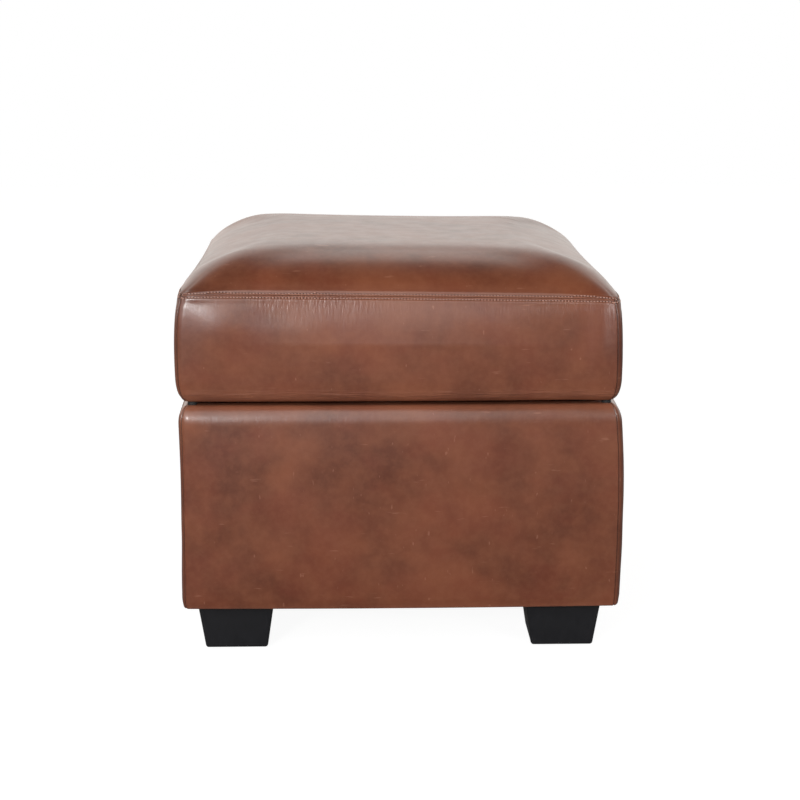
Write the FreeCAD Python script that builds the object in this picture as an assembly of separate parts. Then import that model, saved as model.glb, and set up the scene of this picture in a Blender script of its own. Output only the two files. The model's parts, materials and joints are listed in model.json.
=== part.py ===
import FreeCAD, Part
import math
import os

# Storage ottoman: an upholstered box on four block feet, with a thick padded lid
# that is hinged along its rear edge and held by two gas struts.
# Millimetres. Origin on the floor under the middle, +Z up, the front faces -Y.

# ---- driving dimensions -------------------------------------------------
WIDTH = 560.0             # square plan, over the leather at the corners
BOW = 7.0                 # how far a padded side stands out at mid-width
CORNER = 12.0             # plan radius of the upholstered corners
FEET_TOP = 63.0           # underside of the dust cover
BASE_BOTTOM = 64.0        # lower edge of the leather on the base
BASE_TOP = 329.0          # leather rim that the lid closes on
LID_BOTTOM = 333.5
SEAM_HEIGHT = 468.0       # sewn edge between the lid's sides and its top
TOTAL_HEIGHT = 516.0

# ---- materials' thicknesses ---------------------------------------------
LEATHER = 1.5
CLOTH = 1.0
PLY = 15.0                # frame panels and lid board
FLOOR_PLY = 12.0
SIDE_PADDING = 8.5        # foam between a frame panel and its leather

# ---- edges of the upholstery --------------------------------------------
ROLLED_EDGE = 10.0        # lid's lower edge and base's upper edge
CRISP_EDGE = 3.0          # base's lower edge
CROWN_RUN = 110.0         # how far in from the seam the top keeps rising
CROWN_STEPS = 6
FOAM_TOP = 452.0          # top of the foam core, under the wadding

# ---- frame ---------------------------------------------------------------
FRAME_HALF = WIDTH / 2 - LEATHER - SIDE_PADDING
INNER_HALF = FRAME_HALF - PLY
FRAME_BOTTOM = BASE_BOTTOM + LEATHER
FRAME_TOP = BASE_TOP - LEATHER
FLOOR_BOTTOM = 95.0
FLOOR_TOP = FLOOR_BOTTOM + FLOOR_PLY
FLOOR_GAP = 0.5
BLOCK = 60.0              # corner block's plan size
CLEAT = 18.0              # square strips that carry the floor
LINER_TOP = FRAME_TOP - 2.5
LIP_EDGE = INNER_HALF + 3.0   # inner edge of the leather under the lid
LINING_GAP = 0.2

# ---- feet ----------------------------------------------------------------
FOOT_CENTRE = 212.0
FOOT_TOP_WIDTH = 98.0
FOOT_BOTTOM_WIDTH = 80.0
FOOT_EDGE = 4.0
GLIDE_RADIUS = 12.0
GLIDE_THICK = 2.0
GLIDE_EDGE = 0.8
GLIDE_NAIL = (1.5, 12.0)          # radius, length
FOOT_BOLT = (4.0, 27.0, 94.0)     # M8 hanger bolt: radius, lower and upper end
TEE_NUT_BARREL = (5.0, 13.5)      # radius, length
TEE_NUT_FLANGE = (10.0, 1.5)
BOLT_CLEARANCE = 0.5

# ---- screws: shank radius, length, head radius, head height -------------
FRAME_SCREW = (2.0, 45.0, 4.0, 3.0)
HINGE_SCREW = (1.6, 14.0, 3.0, 1.4)
BRACKET_SCREW = (1.8, 12.0, 3.6, 1.8)
FRAME_SCREW_ENDS = 35.0           # from the panel's top and bottom edges
FRAME_SCREWS_PER_JOINT = 3

# ---- staples round the dust cover ---------------------------------------
DUST_HALF = WIDTH / 2 - 12.0
STAPLE_CROWN = (12.0, 1.2, 0.6)   # length, wire width, wire height
STAPLE_LEG = 5.0
STAPLE_INSET = 262.0
STAPLES_PER_SIDE = 7
STAPLE_SPREAD = 190.0             # the outer staples' distance from the middle

# ---- hinges: the axis lies behind the gap, level with its middle ---------
HINGE_Y = 283.5
HINGE_Z = (BASE_TOP + LID_BOTTOM) / 2
HINGE_X = 150.0
HINGE_LEAF = 1.5
HINGE_KNUCKLE_RADIUS = 3.5
HINGE_PIN_RADIUS = 1.8
HINGE_PIN_HEAD = (2.8, 1.2)       # radius, thickness
HINGE_PLAY = 0.05
KNUCKLE_LENGTH = 15.0
KNUCKLE_COUNT = 5
KNUCKLE_GAP = 0.3
HINGE_LEAF_END = 257.0            # forward edge of the leaves
HINGE_SCREW_Y = (INNER_HALF + FRAME_HALF) / 2
HINGE_SCREW_SPREAD = 25.0

# ---- gas struts: both pivots are equally far from the hinge axis, so the
# ---- strut always turns half as far as the lid ---------------------------
STRUT_REACH = 210.0               # hinge axis to either pivot
LID_PIVOT_DROP = 6.0              # degrees below level, seen from the hinge axis
STRUT_SPAN = 69.5                 # degrees between the pivots with the lid shut
STRUT_X = 238.0
TUBE_RADIUS = 6.0
TUBE_BORE = 5.0
TUBE_START = 16.0                 # from the base pivot
TUBE_END = 218.0
TUBE_FLOOR = 2.0
GLAND = 8.0
ROD_RADIUS = 2.0
ROD_PLAY = 0.05
ROD_LENGTH = 216.0                # lid pivot to the piston's far face
PISTON_THICK = 6.0
PISTON_PLAY = 0.15
STUD_TIP = 8.0                    # where the tube's stud and the rod end in the sockets
STUD_RADIUS = 2.5
BALL_RADIUS = 4.0
BALL_PLAY = 0.1
NECK_RADIUS = 2.2
SOCKET_RADIUS = 7.0
SOCKET_SHANK = 4.5
SOCKET_END = 16.0
SOCKET_INWARD = 6.0
SOCKET_OUTWARD = 5.0
SOCKET_MOUTH = 3.4

# ---- strut brackets ------------------------------------------------------
PLATE = 2.0
PLATE_FACE = INNER_HALF - CLOTH - PLATE     # inner face of the base bracket
BASE_PLATE_HALF = (11.0, 18.5)              # along Y and Z
BASE_SCREW_OFFSET = 12.5
LID_TAB_FACE = 248.0                        # inner face of the lid bracket's tab
LID_TAB_HALF = 9.0
LID_PLATE = (222.0, 20.0)                   # inner edge in X, half-length in Y
LID_SCREW = (230.0, 13.0)                   # X, distance from the pivot in Y
TAB_EDGE = 4.0

# ---- bumpers between rim and lid ------------------------------------------
BUMPER_RADIUS = 6.0
BUMPER_PLACE = (INNER_HALF + FRAME_HALF) / 2
BUMPER_AIR = 0.3

X = FreeCAD.Vector(1, 0, 0)
Y = FreeCAD.Vector(0, 1, 0)
Z = FreeCAD.Vector(0, 0, 1)
SIDES = ("front", "right", "back", "left")
HANDS = (("left", -1), ("right", 1))
nodes = {}


# ---- helpers ---------------------------------------------------------------
def at(x, y, z):
    return FreeCAD.Vector(x, y, z)


def block(low, high):
    """A box between two opposite corners."""
    size = high - low
    return Part.makeBox(size.x, size.y, size.z, low)


def square_block(half, z0, z1):
    return block(at(-half, -half, z0), at(half, half, z1))


def turned(shape, quarter_turns):
    """A copy turned about the ottoman's vertical middle line."""
    copy = shape.copy()
    copy.rotate(at(0, 0, 0), Z, 90 * quarter_turns)
    return copy


def for_hand(shape, sign):
    """The shape as built for the right (+X) side, or its mirror image."""
    if sign > 0:
        return shape
    return shape.mirror(at(0, 0, 0), X)


def corners(distance, z=0.0):
    """The four corner places, with the names that tell them apart."""
    return [
        ("front_left", at(-distance, -distance, z)),
        ("front_right", at(distance, -distance, z)),
        ("back_left", at(-distance, distance, z)),
        ("back_right", at(distance, distance, z)),
    ]


def fillet_edges(shape, radius, chosen):
    edges = [edge for edge in shape.Edges if chosen(edge)]
    return shape.makeFillet(radius, edges)


def lies_at(z):
    """Picks the edges that lie wholly at one height."""
    return lambda edge: abs(edge.BoundBox.ZMin - z) < 1e-4 and abs(edge.BoundBox.ZMax - z) < 1e-4


def countersunk_screw(size, place, direction):
    """A screw whose flat head is flush with the surface at its place."""
    radius, length, head_radius, head_height = size
    head = Part.makeCone(head_radius, radius, head_height, place, direction)
    shank = Part.makeCylinder(radius, length, place, direction)
    return head.fuse(shank).removeSplitter()


def round_head_screw(size, place, direction):
    """A screw whose head stands on the surface at its place."""
    radius, length, head_radius, head_height = size
    head = Part.makeCylinder(head_radius, head_height, place - direction * head_height, direction)
    top = place - direction * head_height
    head = fillet_edges(head, head_height / 2, lambda edge: edge.CenterOfMass.distanceToPoint(top) < 1e-3)
    return head.fuse(Part.makeCylinder(radius, length, place, direction)).removeSplitter()


def pierced(shape, fasteners):
    """The shape with a snug hole for each fastener that passes through it."""
    for fastener in fasteners:
        if shape.BoundBox.intersect(fastener.BoundBox):
            shape = shape.cut(fastener)
    return shape


# ---- upholstered outlines ----------------------------------------------------
def outline(half, bow, corner, z):
    """A square with bowed sides and rounded corners, as a closed wire.

    The side's circle passes through the sharp corners at half and stands out by
    bow in the middle. The corner's circle is tangent to both of its sides.
    """
    side_radius = (half ** 2 + bow ** 2) / (2 * bow)
    side_centre = side_radius - half - bow
    reach = side_radius - corner
    centre = (math.sqrt(2 * reach ** 2 - side_centre ** 2) - side_centre) / 2
    touch = at(centre, -centre - side_centre, 0) * (side_radius / reach) + at(0, side_centre, z)
    middle = at(0, -half - bow, z)
    bend = centre + corner / math.sqrt(2)
    side = Part.Arc(at(-touch.x, touch.y, z), middle, touch).toShape()
    corner_arc = Part.Arc(touch, at(bend, -bend, z), at(-touch.y, -touch.x, z)).toShape()
    edges = []
    for quarter in range(4):
        edges += [turned(side, quarter), turned(corner_arc, quarter)]
    return Part.Wire(edges)


def cushion_block(inset, z0, z1, low_edge=0.0, high_edge=0.0):
    """An upright block with the upholstered outline, its rims rounded if asked."""
    half = WIDTH / 2 - inset
    shape = Part.Face(outline(half, BOW, CORNER - inset, z0)).extrude(Z * (z1 - z0))
    if low_edge:
        shape = fillet_edges(shape, low_edge, lies_at(z0))
    if high_edge:
        shape = fillet_edges(shape, high_edge, lies_at(z1))
    return shape


def crown(inset):
    """The domed top: a quarter ellipse in section, rising from the seam to a flat middle."""
    rise = TOTAL_HEIGHT - inset - SEAM_HEIGHT
    wires = []
    for step in range(CROWN_STEPS + 1):
        angle = math.pi / 2 * step / CROWN_STEPS
        half = WIDTH / 2 - inset
        shrink = 1 - CROWN_RUN * (1 - math.cos(angle)) / half
        height = SEAM_HEIGHT + rise * math.sin(angle)
        wires.append(outline(half * shrink, BOW * shrink, (CORNER - inset) * shrink, height))
    return Part.makeLoft(wires, True, False)


def one_side(shape, quarter):
    """The part of a ring-shaped piece on one side, cut on the diagonals."""
    reach = WIDTH
    points = [at(0, 0, 0), at(reach, -reach, 0), at(-reach, -reach, 0), at(0, 0, 0)]
    wedge = Part.Face(Part.makePolygon(points)).extrude(Z * TOTAL_HEIGHT)
    return shape.common(turned(wedge, quarter))


# ---- fasteners -----------------------------------------------------------------
def foot_bolts():
    radius, low, high = FOOT_BOLT
    return [Part.makeCylinder(radius, high - low, place) for _, place in corners(FOOT_CENTRE, low)]


def tee_nuts(bolts):
    barrel_radius, barrel_length = TEE_NUT_BARREL
    flange_radius, flange_height = TEE_NUT_FLANGE
    nuts = []
    for _, place in corners(FOOT_CENTRE, FLOOR_BOTTOM - flange_height):
        flange = Part.makeCylinder(flange_radius, flange_height, place)
        barrel = Part.makeCylinder(barrel_radius, barrel_length, place - Z * barrel_length)
        nuts.append(pierced(flange.fuse(barrel).removeSplitter(), bolts))
    return nuts


def glides():
    nail_radius, nail_length = GLIDE_NAIL
    pieces = []
    for _, place in corners(FOOT_CENTRE):
        disc = Part.makeCylinder(GLIDE_RADIUS, GLIDE_THICK, place)
        disc = fillet_edges(disc, GLIDE_EDGE, lies_at(0.0))
        nail = Part.makeCylinder(nail_radius, nail_length, place + Z * GLIDE_THICK)
        pieces.append(disc.fuse(nail).removeSplitter())
    return pieces


def frame_screws():
    """Rows of screws through the front and back panels into the side panels' ends."""
    low = FRAME_BOTTOM + FRAME_SCREW_ENDS
    high = FRAME_TOP - FRAME_SCREW_ENDS
    x = INNER_HALF + PLY / 2
    screws = []
    for step in range(FRAME_SCREWS_PER_JOINT):
        z = low + (high - low) * step / (FRAME_SCREWS_PER_JOINT - 1)
        for side in (-1, 1):
            screws.append(countersunk_screw(FRAME_SCREW, at(side * x, -FRAME_HALF, z), Y))
            screws.append(countersunk_screw(FRAME_SCREW, at(side * x, FRAME_HALF, z), -Y))
    return screws


def hinge_screws(z, direction):
    screws = []
    for middle in (-HINGE_X, HINGE_X):
        for offset in (-HINGE_SCREW_SPREAD, 0, HINGE_SCREW_SPREAD):
            place = at(middle + offset, HINGE_SCREW_Y, z)
            screws.append(countersunk_screw(HINGE_SCREW, place, direction))
    return screws


def staples():
    """Staples round the dust cover's edge, crowns along each side."""
    length, width, height = STAPLE_CROWN
    pieces = []
    for quarter in range(4):
        for step in range(STAPLES_PER_SIDE):
            x = STAPLE_SPREAD * (2 * step / (STAPLES_PER_SIDE - 1) - 1)
            low = at(x - length / 2, -STAPLE_INSET - width / 2, FEET_TOP - height)
            staple = block(low, low + at(length, width, height))
            for leg_x in (0, length - height):
                foot = low + at(leg_x, 0, height)
                staple = staple.fuse(block(foot, foot + at(height, width, STAPLE_LEG)))
            pieces.append(turned(staple.removeSplitter(), quarter))
    return pieces


# ---- hinge and strut geometry -------------------------------------------------
def knuckle_span(index):
    """Lower and upper X of one knuckle, counted from the hinge's middle."""
    start = (index - KNUCKLE_COUNT / 2) * KNUCKLE_LENGTH
    return start + KNUCKLE_GAP / 2, start + KNUCKLE_LENGTH - KNUCKLE_GAP / 2


def hinge_leaf(middle, plate_z, first, screws):
    """A leaf with every second knuckle, from the first on, and its bore."""
    half = KNUCKLE_COUNT * KNUCKLE_LENGTH / 2
    clear_y = HINGE_Y - HINGE_KNUCKLE_RADIUS - KNUCKLE_GAP
    leaf = block(at(middle - half, HINGE_LEAF_END, plate_z), at(middle + half, clear_y, plate_z + HINGE_LEAF))
    for index in range(first, KNUCKLE_COUNT, 2):
        low, high = knuckle_span(index)
        start = at(middle + low, HINGE_Y, HINGE_Z)
        knuckle = Part.makeCylinder(HINGE_KNUCKLE_RADIUS, high - low, start, X)
        web = block(at(middle + low, clear_y, plate_z), at(middle + high, HINGE_Y, plate_z + HINGE_LEAF))
        leaf = leaf.fuse(knuckle).fuse(web)
    bore = Part.makeCylinder(HINGE_PIN_RADIUS + HINGE_PLAY, 2 * half, at(middle - half, HINGE_Y, HINGE_Z), X)
    return pierced(leaf.cut(bore).removeSplitter(), screws)


def hinge_pin(middle):
    """A pin with a head at each end, just outside the outer knuckles."""
    head_radius, head_thick = HINGE_PIN_HEAD
    half = KNUCKLE_COUNT * KNUCKLE_LENGTH / 2
    pin = Part.makeCylinder(HINGE_PIN_RADIUS, 2 * half, at(middle - half, HINGE_Y, HINGE_Z), X)
    for start in (middle - half - head_thick, middle + half):
        pin = pin.fuse(Part.makeCylinder(head_radius, head_thick, at(start, HINGE_Y, HINGE_Z), X))
    return pin.removeSplitter()


def round_the_hinge(degrees_down):
    """A point at the struts' reach from the hinge axis, so far below level, on the right."""
    angle = math.radians(degrees_down)
    reach = STRUT_REACH
    return at(STRUT_X, HINGE_Y - reach * math.cos(angle), HINGE_Z - reach * math.sin(angle))


lid_pivot = round_the_hinge(LID_PIVOT_DROP)
base_pivot = round_the_hinge(LID_PIVOT_DROP + STRUT_SPAN)
strut_length = base_pivot.distanceToPoint(lid_pivot)
strut_line = (lid_pivot - base_pivot).normalize()


def along_strut(start, end, radius):
    """A round bar along the strut, measured from the base pivot."""
    return Part.makeCylinder(radius, end - start, base_pivot + strut_line * start, strut_line)


def strut_tube():
    """Gas cylinder: closed foot with a stud, hollow body, gland at the mouth."""
    tube = along_strut(TUBE_START, TUBE_END, TUBE_RADIUS)
    tube = tube.cut(along_strut(TUBE_START + TUBE_FLOOR, TUBE_END - GLAND, TUBE_BORE))
    tube = tube.cut(along_strut(TUBE_END - GLAND, TUBE_END, ROD_RADIUS + ROD_PLAY))
    return tube.fuse(along_strut(STUD_TIP, TUBE_START, STUD_RADIUS)).removeSplitter()


def strut_piston():
    start = strut_length - ROD_LENGTH
    return along_strut(start, start + PISTON_THICK, TUBE_BORE - PISTON_PLAY)


def strut_rod():
    return along_strut(strut_length - ROD_LENGTH + PISTON_THICK, strut_length - STUD_TIP, ROD_RADIUS)


def ball_and_neck(pivot, ball, neck, end_x):
    """A ball with a round neck towards +X, turned as one piece about X."""
    shoulder = math.sqrt(ball ** 2 - neck ** 2)
    pole = pivot - X * ball
    crest = pivot + Y * ball
    meet = pivot + X * shoulder + Y * neck
    rim = at(end_x, pivot.y + neck, pivot.z)
    end = at(end_x, pivot.y, pivot.z)
    edges = [Part.Arc(pole, crest, meet).toShape()]
    for start, stop in ((meet, rim), (rim, end), (end, pole)):
        edges.append(Part.LineSegment(start, stop).toShape())
    return Part.Face(Part.Wire(edges)).revolve(pivot, X, 360)


def ball_socket(pivot, direction, bar_radius):
    """A plastic end fitting: a cup round the ball stud and a bored shank for the bar."""
    cup = Part.makeCylinder(SOCKET_RADIUS, SOCKET_INWARD + SOCKET_OUTWARD, pivot - X * SOCKET_INWARD, X)
    shank = Part.makeCylinder(SOCKET_SHANK, SOCKET_END, pivot, direction)
    bore = Part.makeCylinder(bar_radius, SOCKET_END - STUD_TIP, pivot + direction * STUD_TIP, direction)
    mouth_x = pivot.x + SOCKET_OUTWARD
    hollow = ball_and_neck(pivot, BALL_RADIUS + BALL_PLAY, SOCKET_MOUTH, mouth_x)
    return cup.fuse(shank).cut(hollow).cut(bore)


def ball_stud(pivot, face_x):
    """The ball and neck that stand out from a bracket's inner face."""
    return ball_and_neck(pivot, BALL_RADIUS, NECK_RADIUS, face_x)


def base_bracket_screws():
    places = [base_pivot + Z * offset for offset in (-BASE_SCREW_OFFSET, BASE_SCREW_OFFSET)]
    return [round_head_screw(BRACKET_SCREW, at(PLATE_FACE, p.y, p.z), X) for p in places]


def base_bracket(screws):
    half_y, half_z = BASE_PLATE_HALF
    low = at(PLATE_FACE, base_pivot.y - half_y, base_pivot.z - half_z)
    plate = block(low, low + at(PLATE, 2 * half_y, 2 * half_z))
    plate = fillet_edges(plate, TAB_EDGE, lambda edge: abs(edge.BoundBox.XLength - PLATE) < 1e-4)
    return pierced(plate.fuse(ball_stud(base_pivot, PLATE_FACE)).removeSplitter(), screws)


def lid_bracket_screws():
    x, offset = LID_SCREW
    z = board_bottom - CLOTH - PLATE
    return [round_head_screw(BRACKET_SCREW, at(x, lid_pivot.y + way * offset, z), Z) for way in (-1, 1)]


def lid_bracket(screws):
    """An angle: a plate under the lid and a tab that carries the ball stud."""
    inner_x, half_y = LID_PLATE
    top = board_bottom - CLOTH
    plate = block(at(inner_x, lid_pivot.y - half_y, top - PLATE), at(LID_TAB_FACE, lid_pivot.y + half_y, top))
    tab_x = LID_TAB_FACE + PLATE
    tab = block(at(LID_TAB_FACE, lid_pivot.y - LID_TAB_HALF, lid_pivot.z), at(tab_x, lid_pivot.y + LID_TAB_HALF, top))
    tip = Part.makeCylinder(LID_TAB_HALF, PLATE, at(LID_TAB_FACE, lid_pivot.y, lid_pivot.z), X)
    whole = plate.fuse(tab).fuse(tip).fuse(ball_stud(lid_pivot, LID_TAB_FACE))
    return pierced(whole.removeSplitter(), screws)


# ---- lid heights that follow from the leather ----------------------------------
board_bottom = LID_BOTTOM + LEATHER
board_top = board_bottom + PLY

# ---- the fasteners come first, because the panels are pierced for them --------
bolts = foot_bolts()
nuts = tee_nuts(bolts)
glide_pieces = glides()
panel_screws = frame_screws()
rim_screws = hinge_screws(BASE_TOP + HINGE_LEAF, -Z)
lid_screws = hinge_screws(LID_BOTTOM - HINGE_LEAF, Z)
staple_pieces = staples()
right_base_screws = base_bracket_screws()
right_lid_screws = lid_bracket_screws()
side_screws = [for_hand(screw, sign) for _, sign in HANDS for screw in right_base_screws]
board_screws = [for_hand(screw, sign) for _, sign in HANDS for screw in right_lid_screws]

nodes["foot_bolts"] = Part.makeCompound(bolts)
nodes["foot_tee_nuts"] = Part.makeCompound(nuts)
nodes["foot_glides"] = Part.makeCompound(glide_pieces)
nodes["frame_screws"] = Part.makeCompound(panel_screws)
nodes["dust_cover_staples"] = Part.makeCompound(staple_pieces)
nodes["base_hardware_screws"] = Part.makeCompound(rim_screws + side_screws)
nodes["lid_hardware_screws"] = Part.makeCompound(lid_screws + board_screws)


# ---- wooden frame of the base ----------------------------------------------------
def frame_panel(quarter):
    """Front and back run the full width, and the sides stand between them."""
    across = FRAME_HALF if quarter % 2 == 0 else INNER_HALF
    panel = block(at(-across, -FRAME_HALF, FRAME_BOTTOM), at(across, -INNER_HALF, FRAME_TOP))
    return pierced(turned(panel, quarter), panel_screws + rim_screws + side_screws + staple_pieces)


def corner_block(place):
    """A square block in the frame's lower corner, bored for the foot's bolt."""
    x = math.copysign(INNER_HALF, place.x)
    y = math.copysign(INNER_HALF, place.y)
    inner_x = math.copysign(INNER_HALF - BLOCK, x)
    inner_y = math.copysign(INNER_HALF - BLOCK, y)
    low = at(min(x, inner_x), min(y, inner_y), BASE_BOTTOM)
    high = at(max(x, inner_x), max(y, inner_y), FLOOR_BOTTOM)
    hole = Part.makeCylinder(FOOT_BOLT[0] + BOLT_CLEARANCE, FLOOR_BOTTOM, place)
    return pierced(block(low, high), nuts).cut(hole)


def floor_cleat(quarter):
    """A strip along the foot of a panel, between two corner blocks."""
    across = INNER_HALF - BLOCK
    low = at(-across, -INNER_HALF, FLOOR_BOTTOM - CLEAT)
    return turned(block(low, at(across, -INNER_HALF + CLEAT, FLOOR_BOTTOM)), quarter)


for quarter, side in enumerate(SIDES):
    nodes[side + "_panel"] = frame_panel(quarter)
for name, place in corners(FOOT_CENTRE):
    nodes["corner_block_" + name] = corner_block(place)
nodes["floor_cleats"] = Part.makeCompound([floor_cleat(quarter) for quarter in range(4)])
nodes["floor_panel"] = square_block(INNER_HALF - FLOOR_GAP, FLOOR_BOTTOM, FLOOR_TOP)


# ---- feet and dust cover -----------------------------------------------------------
def square_wire(width, centre):
    half = width / 2
    points = [(-half, -half), (half, -half), (half, half), (-half, half), (-half, -half)]
    return Part.makePolygon([centre + at(x, y, 0) for x, y in points])


def foot(place):
    """A block foot that narrows towards the floor, its edges rounded."""
    top = square_wire(FOOT_TOP_WIDTH, place + Z * FEET_TOP)
    bottom = square_wire(FOOT_BOTTOM_WIDTH, place + Z * GLIDE_THICK)
    solid = Part.makeLoft([bottom, top], True, True)
    solid = fillet_edges(solid, FOOT_EDGE, lambda edge: edge.BoundBox.ZLength > FEET_TOP / 2)
    solid = fillet_edges(solid, FOOT_EDGE, lies_at(GLIDE_THICK))
    return pierced(solid, bolts + glide_pieces)


def dust_cover():
    """The cloth over the underside, with a hole for each foot's bolt."""
    cover = square_block(DUST_HALF, FEET_TOP, FEET_TOP + CLOTH)
    radius = FOOT_BOLT[0] + BOLT_CLEARANCE
    holes = [Part.makeCylinder(radius, BASE_BOTTOM, place) for _, place in corners(FOOT_CENTRE)]
    return pierced(cover, holes + staple_pieces)


for name, place in corners(FOOT_CENTRE):
    nodes["foot_" + name] = foot(place)
nodes["dust_cover"] = dust_cover()


# ---- upholstery of the base ----------------------------------------------------------
def base_upholstery():
    """Foam on each side of the frame, and the leather wrapped over it and round both rims."""
    tuck = ROLLED_EDGE - LEATHER
    fold = CRISP_EDGE - LEATHER
    skin_out = cushion_block(0.0, BASE_BOTTOM, BASE_TOP, CRISP_EDGE, ROLLED_EDGE)
    skin_in = cushion_block(LEATHER, FRAME_BOTTOM, FRAME_TOP, fold, tuck)
    leather = skin_out.cut(skin_in).cut(square_block(INNER_HALF, 0, TOTAL_HEIGHT))
    leather = pierced(leather, rim_screws + staple_pieces)
    foam = skin_in.cut(square_block(FRAME_HALF, 0, TOTAL_HEIGHT))
    for quarter, side in enumerate(SIDES):
        nodes["base_padding_" + side] = one_side(foam, quarter)
        nodes["base_cover_" + side] = one_side(leather, quarter)


def storage_liner():
    """A cloth bag that lines the compartment, open at the top."""
    bag = square_block(INNER_HALF, FLOOR_TOP, LINER_TOP)
    bag = bag.cut(square_block(INNER_HALF - CLOTH, FLOOR_TOP + CLOTH, LINER_TOP))
    return pierced(bag, side_screws + panel_screws)


def rim_bumpers():
    height = LID_BOTTOM - BASE_TOP - BUMPER_AIR
    return [Part.makeCylinder(BUMPER_RADIUS, height, place) for _, place in corners(BUMPER_PLACE, BASE_TOP)]


base_upholstery()
nodes["storage_liner"] = storage_liner()
nodes["rim_bumpers"] = Part.makeCompound(rim_bumpers())


# ---- lid --------------------------------------------------------------------------------
def lid_upholstery():
    """Foam core on a board, wadding round both, and a leather cover of five panels."""
    tuck = ROLLED_EDGE - LEATHER
    sides_out = cushion_block(0.0, LID_BOTTOM, SEAM_HEIGHT, ROLLED_EDGE)
    sides_in = cushion_block(LEATHER, board_bottom, SEAM_HEIGHT, tuck)
    leather = sides_out.cut(sides_in).cut(square_block(LIP_EDGE, 0, board_bottom))
    leather = pierced(leather, lid_screws)
    for quarter, side in enumerate(SIDES):
        nodes["lid_cover_" + side] = one_side(leather, quarter)
    nodes["lid_cover_top"] = crown(0.0).cut(crown(LEATHER))

    board = square_block(FRAME_HALF, board_bottom, board_top)
    core = square_block(FRAME_HALF, board_top, FOAM_TOP)
    wadding = sides_in.fuse(crown(LEATHER)).removeSplitter()
    nodes["lid_board"] = pierced(board, lid_screws + board_screws)
    nodes["lid_foam_core"] = core
    nodes["lid_wadding"] = wadding.cut(board).cut(core)
    lining = square_block(LIP_EDGE - LINING_GAP, board_bottom - CLOTH, board_bottom)
    nodes["lid_underside_lining"] = pierced(lining, board_screws + lid_screws)


lid_upholstery()


# ---- hinges --------------------------------------------------------------------------------
for name, sign in HANDS:
    middle = sign * HINGE_X
    nodes["hinge_base_leaf_" + name] = hinge_leaf(middle, BASE_TOP, 0, rim_screws)
    nodes["hinge_lid_leaf_" + name] = hinge_leaf(middle, LID_BOTTOM - HINGE_LEAF, 1, lid_screws)
nodes["hinge_pins"] = Part.makeCompound([hinge_pin(sign * HINGE_X) for _, sign in HANDS])

# ---- gas struts ---------------------------------------------------------------------------
right_strut = {
    "strut_base_bracket": base_bracket(right_base_screws),
    "strut_lid_bracket": lid_bracket(right_lid_screws),
    "strut_cylinder": strut_tube(),
    "strut_cylinder_socket": ball_socket(base_pivot, strut_line, STUD_RADIUS),
    "strut_piston": strut_piston(),
    "strut_rod": strut_rod(),
    "strut_rod_socket": ball_socket(lid_pivot, -strut_line, ROD_RADIUS),
}
for name, sign in HANDS:
    for piece, shape in right_strut.items():
        nodes[piece + "_" + name] = for_hand(shape, sign)

# ---- one STEP file per piece -----------------------------------------------------------------
os.makedirs("parts", exist_ok=True)
for name, shape in nodes.items():
    shape.exportStep("parts/" + name + ".step")
print(len(nodes), "pieces")
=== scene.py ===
import json
import math

import bpy
import numpy as np
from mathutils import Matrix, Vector
from mathutils.bvhtree import BVHTree


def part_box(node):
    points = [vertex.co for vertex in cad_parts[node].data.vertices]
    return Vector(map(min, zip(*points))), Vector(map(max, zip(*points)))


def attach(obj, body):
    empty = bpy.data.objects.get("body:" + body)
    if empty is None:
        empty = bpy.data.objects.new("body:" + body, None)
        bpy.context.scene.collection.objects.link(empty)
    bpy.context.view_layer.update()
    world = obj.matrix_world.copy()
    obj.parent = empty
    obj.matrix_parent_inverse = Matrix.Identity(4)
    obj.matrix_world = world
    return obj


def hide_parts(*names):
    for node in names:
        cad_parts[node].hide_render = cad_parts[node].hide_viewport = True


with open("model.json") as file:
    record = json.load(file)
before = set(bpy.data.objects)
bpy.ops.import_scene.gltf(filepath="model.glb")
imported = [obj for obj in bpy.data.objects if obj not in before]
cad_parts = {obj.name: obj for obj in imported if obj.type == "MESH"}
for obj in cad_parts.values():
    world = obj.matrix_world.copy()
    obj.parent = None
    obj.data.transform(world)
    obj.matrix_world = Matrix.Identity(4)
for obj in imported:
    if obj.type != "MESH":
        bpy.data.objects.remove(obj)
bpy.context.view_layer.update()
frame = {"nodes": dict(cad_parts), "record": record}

# Looks of the storage ottoman. Metres, in the CAD frame: the front faces -Y, +X is its right
# in a front view, and the floor is at Z = 0.

MM = 0.001
QUARTER = math.pi / 2

# ---- places, from the frame where it has them ----
HALF = 280 * MM                            # plan half-width over the sharp corners
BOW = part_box("base_cover_right")[1].x - HALF
SEAM_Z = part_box("lid_cover_front")[1].z
LID_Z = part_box("lid_cover_front")[0].z
RIM_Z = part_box("base_cover_front")[1].z
HEM_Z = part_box("base_cover_front")[0].z
RIM_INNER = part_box("base_cover_right")[0].x
LID_LIP_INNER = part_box("lid_underside_lining")[1].x
FRAME_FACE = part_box("lid_board")[1].x

# ---- upholstery ----
LEATHER = 1.5 * MM
CORNER = 12 * MM                # plan radius of the corners
CORNER_FADE = 10 * MM           # how fast the rings of the top lose that radius inwards
CORNER_PULL = 4.5 * MM          # how far the sewing pulls the lid's corners in
CORNER_REACH = 16 * MM          # how far from a corner that is felt
CROWN = {                       # rise close to the seam, its run, rise of the dome, its run
    "end": (14.2 * MM, 13.7 * MM, 34.5 * MM, 79 * MM),      # from the front and back seams
    "side": (9.1 * MM, 13.7 * MM, 39.6 * MM, 87 * MM),      # from the left and right seams
}
BASE_BOW = 5 * MM               # the base's sides stand out this much between the corners
TOP_BOW = -4 * MM               # the top seam pulls in between the corners
FULLEST = 0.45                  # share of the way down a side where it stands out most
LID_FULLEST, LID_FULL_REACH = 0.5, 0.55    # the same for the lid's bulge, and how far it goes
RISE = CROWN["end"][0] + CROWN["end"][2]
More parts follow.
